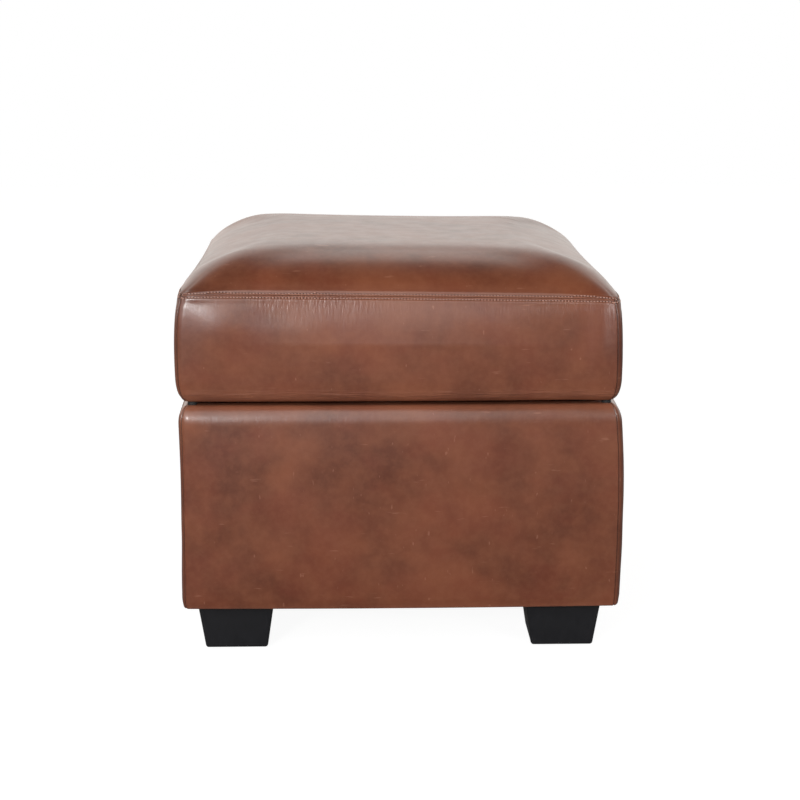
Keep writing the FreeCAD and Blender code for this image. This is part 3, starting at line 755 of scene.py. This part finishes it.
class Nodes:
    """Short calls for building one material's nodes."""

    def __init__(self, name, **settings):
        self.material = bpy.data.materials.new(name)
        self.material.use_nodes = True
        self.tree = self.material.node_tree
        self.shader = self.tree.nodes["Principled BSDF"]
        self.coords = self.tree.nodes.new("ShaderNodeTexCoord").outputs["Object"]
        for socket, value in settings.items():
            self.shader.inputs[socket.replace("_", " ")].default_value = value

    def put(self, node, socket, value):
        if isinstance(value, bpy.types.NodeSocket):
            self.tree.links.new(value, node.inputs[socket])
        else:
            node.inputs[socket].default_value = value

    def stretched(self, scale):
        node = self.tree.nodes.new("ShaderNodeMapping")
        self.put(node, "Vector", self.coords)
        node.inputs["Scale"].default_value = scale
        return node.outputs["Vector"]

    def noise(self, scale, detail, roughness, vector=None, distortion=0.0):
        node = self.tree.nodes.new("ShaderNodeTexNoise")
        self.put(node, "Vector", vector or self.coords)
        node.inputs["Scale"].default_value = scale
        node.inputs["Detail"].default_value = detail
        node.inputs["Roughness"].default_value = roughness
        node.inputs["Distortion"].default_value = distortion
        return node.outputs["Fac"]

    def voronoi(self, scale, feature="F1"):
        node = self.tree.nodes.new("ShaderNodeTexVoronoi")
        node.feature = feature
        self.put(node, "Vector", self.coords)
        node.inputs["Scale"].default_value = scale
        return node.outputs["Distance"]

    def level(self, value, low, high, to_low=0.0, to_high=1.0):
        node = ramp(self.tree, value, low, high, to_low, to_high)
        node.interpolation_type = "SMOOTHSTEP"
        return node.outputs["Result"]

    def math(self, operation, a, b):
        node = self.tree.nodes.new("ShaderNodeMath")
        node.operation = operation
        self.put(node, 0, a)
        self.put(node, 1, b)
        return node.outputs["Value"]

    def mix(self, factor, a, b):
        node = self.tree.nodes.new("ShaderNodeMix")
        node.data_type = "RGBA"
        self.put(node, "Factor", factor)
        self.put(node, 6, a)
        self.put(node, 7, b)
        return node.outputs[2]

    def attribute(self, name):
        node = self.tree.nodes.new("ShaderNodeAttribute")
        node.attribute_name = name
        return node.outputs["Fac"]

    def bump(self, height, strength, distance, normal=None):
        node = self.tree.nodes.new("ShaderNodeBump")
        self.put(node, "Height", height)
        node.inputs["Strength"].default_value = strength
        node.inputs["Distance"].default_value = distance
        if normal:
            self.put(node, "Normal", normal)
        return node.outputs["Normal"]

    def set(self, socket, value):
        self.put(self.shader, socket, value)


def leather_material():
    """Mottled pull-up leather: cloudy dark and light patches, fine scratches, fine grain, a painted
    highlight on raised edges, and seam grooves darkened with dirt and painted shade.
    """
    m = Nodes("brown_leather", Specular_IOR_Level=0.45, Coat_Weight=0.35, Coat_Roughness=0.2)
    clouds = m.level(m.noise(9, 3, 0.5, distortion=0.3), 0.30, 0.70)
    patches = m.level(m.noise(24, 3, 0.55), 0.35, 0.70)
    mottle = m.level(m.noise(120, 3, 0.6), 0.35, 0.7)
    red = m.level(m.noise(16, 2, 0.5, m.stretched((1, 1, 1.3))), 0.42, 0.68)
    colour = m.mix(clouds, srgb(92, 47, 30), srgb(123, 69, 46))
    colour = m.mix(m.math("MULTIPLY", patches, 0.4), colour, srgb(136, 80, 54))
    colour = m.mix(m.math("MULTIPLY", red, 0.35), colour, srgb(112, 52, 35))
    colour = m.mix(m.math("MULTIPLY", mottle, 0.15), colour, srgb(146, 94, 68))
    scratch = m.level(m.noise(60, 2, 0.5, m.stretched((0.5, 0.5, 3))), 0.70, 0.78)
    nick = m.level(m.noise(210, 1, 0.5, m.stretched((1, 1, 0.4))), 0.74, 0.80)
    marks = m.math("MULTIPLY", m.math("MAXIMUM", scratch, nick), 0.3)
    colour = m.mix(marks, colour, srgb(170, 118, 96))
    # painted highlight: raised edges lighter
    colour = m.mix(m.math("MULTIPLY", m.attribute("painted_edge_highlight"), 0.25), colour, srgb(160, 106, 84))
    # seam grooves darker: dirt and painted shade
    colour = m.mix(m.math("MULTIPLY", m.attribute("groove_dirt_and_shade"), 0.75), colour, srgb(48, 24, 16))
    m.set("Base Color", colour)
    rough = m.level(m.noise(40, 3, 0.6), 0.3, 0.7, 0.33, 0.38)
    m.set("Roughness", rough)
    grain = m.voronoi(850, "SMOOTH_F1")
    fine = m.noise(2400, 2, 0.6)
    wrinkle = m.noise(240, 3, 0.6)
    upright = m.noise(330, 2, 0.5, m.stretched((1, 1, 0.12)))
    level = m.noise(380, 2, 0.5, m.stretched((0.09, 0.09, 1)))
    gather = m.math("MULTIPLY", upright, m.attribute("gather"))
    fold = m.math("MULTIPLY", level, m.attribute("fold"))
    normal = m.bump(m.math("ADD", gather, fold), 1.0, 1.8 * MM)
    normal = m.bump(wrinkle, 0.15, 0.3 * MM, normal)
    normal = m.bump(grain, 0.15, 0.25 * MM, normal)
    m.set("Normal", m.bump(fine, 0.1, 0.12 * MM, normal))
    return m.material


def thread_material():
    m = Nodes("brown_thread", Roughness=0.6)
    twist = m.noise(1800, 2, 0.5)
    m.set("Base Color", m.mix(twist, srgb(176, 128, 112), srgb(226, 184, 166)))
    m.set("Normal", m.bump(twist, 0.5, 0.2 * MM))
    return m.material


def hole_shade_material():
    # Near-black: painted shade standing in for the shadow in each needle hole.
    m = Nodes("needle_hole_shade", Roughness=0.8)
    m.set("Base Color", m.mix(m.noise(900, 2, 0.5), srgb(26, 10, 6), srgb(46, 20, 14)))
    return m.material


def lacquer_material():
    """Black satin lacquer over wood, with a trace of the grain."""
    m = Nodes("black_wood", Coat_Weight=0.2, Coat_Roughness=0.25)
    grain = m.noise(60, 5, 0.6, m.stretched((6, 6, 0.6)))
    m.set("Base Color", m.mix(grain, srgb(19, 19, 22), srgb(27, 27, 31)))
    m.set("Roughness", m.level(grain, 0.3, 0.7, 0.36, 0.48))
    m.set("Normal", m.bump(grain, 0.15, 0.3 * MM))
    return m.material


def plywood_material():
    m = Nodes("plywood", Roughness=0.65)
    grain = m.noise(30, 6, 0.65, m.stretched((1, 9, 9)), 0.6)
    plies = m.level(m.noise(900, 0, 0, m.stretched((0.001, 0.001, 1))), 0.45, 0.55)
    colour = m.mix(grain, srgb(196, 160, 112), srgb(226, 196, 150))
    m.set("Base Color", m.mix(m.math("MULTIPLY", plies, 0.2), colour, srgb(150, 112, 72)))
    m.set("Normal", m.bump(grain, 0.2, 0.3 * MM))
    return m.material


def cloth_material():
    """Black non-woven cloth: pressed fibres with a grid of weld points."""
    m = Nodes("black_cloth", Roughness=0.92, Sheen_Weight=0.25, Sheen_Roughness=0.5)
    fibres = m.noise(700, 5, 0.75)
    spots = m.level(m.voronoi(420), 0.1, 0.45)
    m.set("Base Color", m.mix(fibres, srgb(20, 20, 21), srgb(44, 43, 44)))
    normal = m.bump(spots, 0.5, 0.4 * MM)
    m.set("Normal", m.bump(fibres, 0.6, 0.3 * MM, normal))
    return m.material


def foam_material():
    m = Nodes("padding_foam", Roughness=0.95)
    cells = m.voronoi(900)
    m.set("Base Color", m.mix(cells, srgb(214, 196, 140), srgb(236, 222, 176)))
    m.set("Normal", m.bump(cells, 0.6, 0.4 * MM))
    return m.material


def wadding_material():
    m = Nodes("white_wadding", Roughness=0.98)
    fibres = m.noise(500, 6, 0.8)
    m.set("Base Color", m.mix(fibres, srgb(224, 224, 220), srgb(246, 246, 242)))
    m.set("Normal", m.bump(fibres, 0.8, 0.6 * MM))
    return m.material


def metal_material(name, dark, light, low, high, scale, metallic=1.0):
    """Plated, painted or polished steel, with uneven sheen and fine marks."""
    m = Nodes(name, Metallic=metallic)
    marks = m.noise(scale, 4, 0.65)
    m.set("Base Color", m.mix(marks, dark, light))
    m.set("Roughness", m.level(marks, 0.3, 0.7, low, high))
    m.set("Normal", m.bump(m.noise(scale * 8, 2, 0.5), 0.08, 0.1 * MM))
    return m.material


def moulded_material(name, dark, light, rough):
    """Moulded plastic, nylon or rubber, with a fine texture."""
    m = Nodes(name)
    texture = m.noise(1500, 3, 0.6)
    m.set("Base Color", m.mix(m.noise(60, 3, 0.5), dark, light))
    m.set("Roughness", m.level(texture, 0.3, 0.7, rough - 0.06, rough + 0.06))
    m.set("Normal", m.bump(texture, 0.2, 0.1 * MM))
    return m.material


MATERIALS = {
    "brown_leather": leather_material(),
    "padding_foam": foam_material(),
    "white_wadding": wadding_material(),
    "black_cloth": cloth_material(),
    "plywood": plywood_material(),
    "black_wood": lacquer_material(),
    "nylon": moulded_material("nylon", srgb(206, 204, 196), srgb(226, 225, 218), 0.5),
    "zinc_steel": metal_material(
        "zinc_steel", srgb(168, 170, 168), srgb(206, 206, 200), 0.28, 0.45, 90),
    "black_paint": metal_material(
        "black_paint", srgb(20, 20, 21), srgb(30, 30, 32), 0.26, 0.36, 60, 0.0),
    "polished_rod": metal_material(
        "polished_rod", srgb(206, 206, 206), srgb(222, 222, 222), 0.08, 0.16, 300),
    "strut_plastic": moulded_material("strut_plastic", srgb(24, 24, 25), srgb(34, 34, 35), 0.5),
    "black_rubber": moulded_material("black_rubber", srgb(22, 22, 22), srgb(32, 32, 32), 0.7),
}


def dress(obj, body, slot, material=None):
    """Puts a piece on its body, with the material given, or else that of its slot."""
    obj.data.materials.append(material or MATERIALS[slot])
    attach(obj, body)


def dress_cad_nodes():
    """Every CAD node gets the finish of its slot."""
    for part in frame["record"]["subparts"]:
        node = frame["nodes"][part["node"]]
        for socket in node.material_slots:
            socket.material = MATERIALS[part["material_slot"]]


# ======== the pieces ========
SIDES = ("front", "right", "back", "left")


def make_lid():
    obj, seam, corner, on_side = lid_leather()
    finish_lid_surface(obj, seam, corner, on_side)
    dress(obj, "lid", "brown_leather")
    covers = ["lid_cover_" + side for side in SIDES]
    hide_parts("lid_cover_top", "lid_wadding", "lid_foam_core", *covers)
    points = [vertex.co for vertex in obj.data.vertices]
    surface = BVHTree.FromPolygons(points, [face.vertices for face in obj.data.polygons])
    thread = thread_material()
    hole = hole_shade_material()
    rows = (("lower", STITCH_OFFSET, 0.0), ("upper", -STITCH_OFFSET, UPPER_ROW_INSET))
    for name, down, inwards in rows:
        targets = seam_targets(down, inwards)
        stitches = stitch_row("lid_topstitch_" + name, surface, targets, False)
        dress(stitches, "lid", "brown_leather", thread)
        holes = stitch_row("lid_needle_holes_" + name, surface, targets, True)
        dress(holes, "lid", "brown_leather", hole)


def make_base():
    obj, corner, outside = base_leather()
    finish_base_surface(obj, corner, outside)
    dress(obj, "base", "brown_leather")
    nodes = ["base_cover_" + side for side in SIDES] + ["base_padding_" + side for side in SIDES]
    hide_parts(*nodes)


def thicken(obj):
    """Gives a cloth its thickness, behind the side that its faces look to."""
    solid = obj.modifiers.new("thickness", "SOLIDIFY")
    solid.thickness = CLOTH
    solid.offset = -1


def cloth_places(half):
    """A square grid of places for a flat cloth, at no height, with their rings from the middle."""
    lines = edge_lines(half, *SHEET_LINES)
    x, y = np.meshgrid(lines, lines, indexing="ij")
    return np.stack([x, y, np.zeros(x.shape)], axis=-1), np.maximum(abs(x), abs(y))


def cloth_object(name, places):
    index = np.arange(places[..., 0].size).reshape(places.shape[:2])
    obj = mesh_object(name, places.reshape(-1, 3), grid_faces(index).tolist())
    thicken(obj)
    return obj


def make_dust_cover():
    """Black cloth stapled under the box. It sags a little between its staples."""
    low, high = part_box("dust_cover")
    places, ring = cloth_places(high.x)
    staple_line = high.x - 7 * MM
    inside = fade(staple_line - ring, 0, 90 * MM)
    from_foot = np.hypot(abs(places[..., 0]) - FOOT_CENTRE, abs(places[..., 1]) - FOOT_CENTRE)
    clear_of_feet = fade(from_foot, 75 * MM, 160 * MM)
    slack = 0.5 + 0.5 * noise(places, 90 * MM, 21)
    slanted = places @ np.array([[1, 1, 0], [-1, 1, 0], [0, 0, 1]])
    wrinkle = noise(slanted, (18 * MM, 90 * MM, 1), 22)
    places[..., 2] = low.z + CLOTH - inside * clear_of_feet * (2.2 * slack + 0.5 * wrinkle) * MM
    obj = cloth_object("dust_cover_cloth", places)
    dress(obj, "base", "black_cloth")
    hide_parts("dust_cover")


def make_lid_lining():
    """Black cloth over the underside of the lid's board, tucked in under the leather's edge."""
    low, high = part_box("lid_underside_lining")
    places, ring = cloth_places(high.x)
    inside = fade(high.x - ring, 0, 40 * MM)
    wrinkle = noise(places, (120 * MM, 22 * MM, 1), 31)
    wrinkle += 0.6 * noise(places, (30 * MM, 100 * MM, 1), 32)
    places[..., 2] = low.z + CLOTH - 0.25 * MM * inside * (wrinkle + 1)
    obj = cloth_object("lid_lining_cloth", places)
    dress(obj, "lid", "black_cloth")
    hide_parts("lid_underside_lining")


def liner_section(wall, turn, floor_z, top_z):
    """Rows of the liner from its floor, round the bend and up to its upper edge."""
    radius = turn - 4 * MM
    section = []
    for step in range(7):
        angle = QUARTER * step / 6
        inset = HALF - wall + turn * (1 - math.sin(angle))
        section.append((inset, floor_z + turn * (1 - math.cos(angle)), radius, 0.0, 0.0))
    for step in range(1, 31):
        z = floor_z + turn + (top_z - floor_z - turn) * step / 30
        section.append((HALF - wall, z, radius, 0.0, 0.0))
    return section


def liner_relief(places, low_z, top_z):
    """How far the liner stands in from its box: soft folds, and a crumpled floor."""
    height = places[:, 2] - low_z
    folds = noise(places, (28 * MM, 28 * MM, 160 * MM), 41)
    folds += 0.5 * noise(places, (70 * MM, 70 * MM, 30 * MM), 42)
    free = fade(height, 1 * MM, 30 * MM) * fade(top_z - places[:, 2], 2 * MM, 40 * MM)
    inward = (folds * 0.35 + 0.55) * free * 2.2 * MM
    crumple = noise(places, (60 * MM, 40 * MM, 1), 43)
    crumple = crumple * fade(-height, -12 * MM, -2 * MM) * 0.5 * MM
    return inward + crumple.clip(0, 1)


def make_storage_liner():
    """Black cloth bag in the box: floor and walls in one piece, stapled under the rim's leather."""
    low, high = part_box("storage_liner")
    wall = high.x - 0.2 * MM
    floor_z = low.z + CLOTH
    top_z = RIM_Z - LEATHER - 0.1 * MM
    section = liner_section(wall, 14 * MM, floor_z, top_z)
    lines = edge_lines(HALF, *LINER_LINES)
    x, y = np.meshgrid(lines, lines, indexing="ij")
    inset, _, radius, _, _ = section[0]
    scale = 1 - inset / HALF
    floor_x, floor_y = round_plan(x * scale, y * scale, HALF - inset, radius)
    floor = np.stack([floor_x, floor_y, np.full(x.shape, floor_z)], axis=-1)
    obj = box_mesh("storage_liner_cloth", floor, side_points(lines, section, BASE_BULGE), False)
    move_out(obj, liner_relief(vertex_places(obj), low.z, top_z))
    thicken(obj)
    dress(obj, "base", "black_cloth")
    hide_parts("storage_liner")


# ======== studio ========
def make_floor():
    """A floor that's white to the camera and dim as a light. From below it's clear."""
    size = 6.0
    points = [(-size, -size, 0), (size, -size, 0), (size, size, 0), (-size, size, 0)]
    floor = mesh_object("studio_floor", points, [(0, 1, 2, 3)], smooth=False)
    m = Nodes("studio_floor", Base_Color=(0.2, 0.2, 0.2, 1), Roughness=1.0, Specular_IOR_Level=0.0)
    m.set("Emission Color", (1, 1, 1, 1))
    seen = m.tree.nodes.new("ShaderNodeLightPath").outputs["Is Camera Ray"]
    glow_as_light, glow_seen = 0.03, 0.93
    m.set("Emission Strength", m.level(seen, 0.0, 1.0, glow_as_light, glow_seen))
    below = m.tree.nodes.new("ShaderNodeNewGeometry").outputs["Backfacing"]
    clear = m.tree.nodes.new("ShaderNodeBsdfTransparent").outputs[0]
    choice = m.tree.nodes.new("ShaderNodeMixShader")
    m.tree.links.new(below, choice.inputs[0])
    m.tree.links.new(m.shader.outputs[0], choice.inputs[1])
    m.tree.links.new(clear, choice.inputs[2])
    m.tree.links.new(choice.outputs[0], m.tree.nodes["Material Output"].inputs["Surface"])
    floor.data.materials.append(m.material)


def make_world():
    """White to the camera. As a light: bright behind the ottoman, dim overhead and in front."""
    world = bpy.data.worlds.new("studio")
    bpy.context.scene.world = world
    world.use_nodes = True
    tree = world.node_tree
    background = tree.nodes["Background"]
    split = tree.nodes.new("ShaderNodeSeparateXYZ")
    tree.links.new(tree.nodes.new("ShaderNodeTexCoord").outputs["Generated"], split.inputs[0])
    ahead = ramp(tree, split.outputs["Y"], -0.3, 0.5, 0.08, 1.2)
    overhead = ramp(tree, split.outputs["Z"], 0.71, 0.79, 1.0, 0.15)
    product = tree.nodes.new("ShaderNodeMath")
    product.operation = "MULTIPLY"
    tree.links.new(ahead.outputs["Result"], product.inputs[0])
    tree.links.new(overhead.outputs["Result"], product.inputs[1])
    seen = tree.nodes.new("ShaderNodeLightPath").outputs["Is Camera Ray"]
    choice = tree.nodes.new("ShaderNodeMix")
    tree.links.new(seen, choice.inputs["Factor"])
    tree.links.new(product.outputs["Value"], choice.inputs[2])
    choice.inputs[3].default_value = 1.0
    tint = tree.nodes.new("ShaderNodeMix")
    tint.data_type = "RGBA"
    tree.links.new(seen, tint.inputs["Factor"])
    warm, white = (1.0, 0.95, 0.90, 1), (1, 1, 1, 1)
    tint.inputs[6].default_value = warm
    tint.inputs[7].default_value = white
    tree.links.new(tint.outputs[2], background.inputs["Color"])
    tree.links.new(choice.outputs[0], background.inputs["Strength"])


def make_light(name, place, target, size, power):
    data = bpy.data.lights.new(name, "AREA")
    data.shape = "RECTANGLE"
    data.size, data.size_y = size
    data.energy = power
    light = bpy.data.objects.new(name, data)
    light.location = place
    light.rotation_euler = (Vector(target) - Vector(place)).to_track_quat("-Z", "Y").to_euler()
    bpy.context.scene.collection.objects.link(light)


def make_camera(place, yaw, pitch, lens, shift):
    data = bpy.data.cameras.new("camera")
    data.lens = lens
    data.shift_y = shift
    data.clip_end = 50
    camera = bpy.data.objects.new("camera", data)
    camera.location = place
    yaw, pitch = math.radians(yaw), math.radians(pitch)
    level = math.cos(pitch)
    ahead = Vector((math.sin(yaw) * level, math.cos(yaw) * level, -math.sin(pitch)))
    camera.rotation_euler = ahead.to_track_quat("-Z", "Y").to_euler()
    bpy.context.scene.collection.objects.link(camera)
    bpy.context.scene.camera = camera


dress_cad_nodes()
make_lid()
make_base()
make_dust_cover()
make_lid_lining()
make_storage_liner()
make_floor()
make_world()
make_light(
    "key_softbox", place=(-1.0, -2.5, 1.65), target=(0, -0.28, 0.4), size=(3.4, 2.0), power=49)
make_light(
    "left_softbox", place=(-1.0, -2.5, 0.95), target=(-0.25, -0.28, 0.4), size=(0.34, 0.34), power=24)
make_light(
    "right_softbox", place=(1.35, -2.3, 0.9), target=(0.28, -0.2, 0.35), size=(0.5, 0.8), power=14)
make_camera(place=(-0.053, -2.419, 0.813), yaw=1.41, pitch=9.39, lens=78.3, shift=-0.12)
bpy.context.scene.view_settings.view_transform = "Standard"
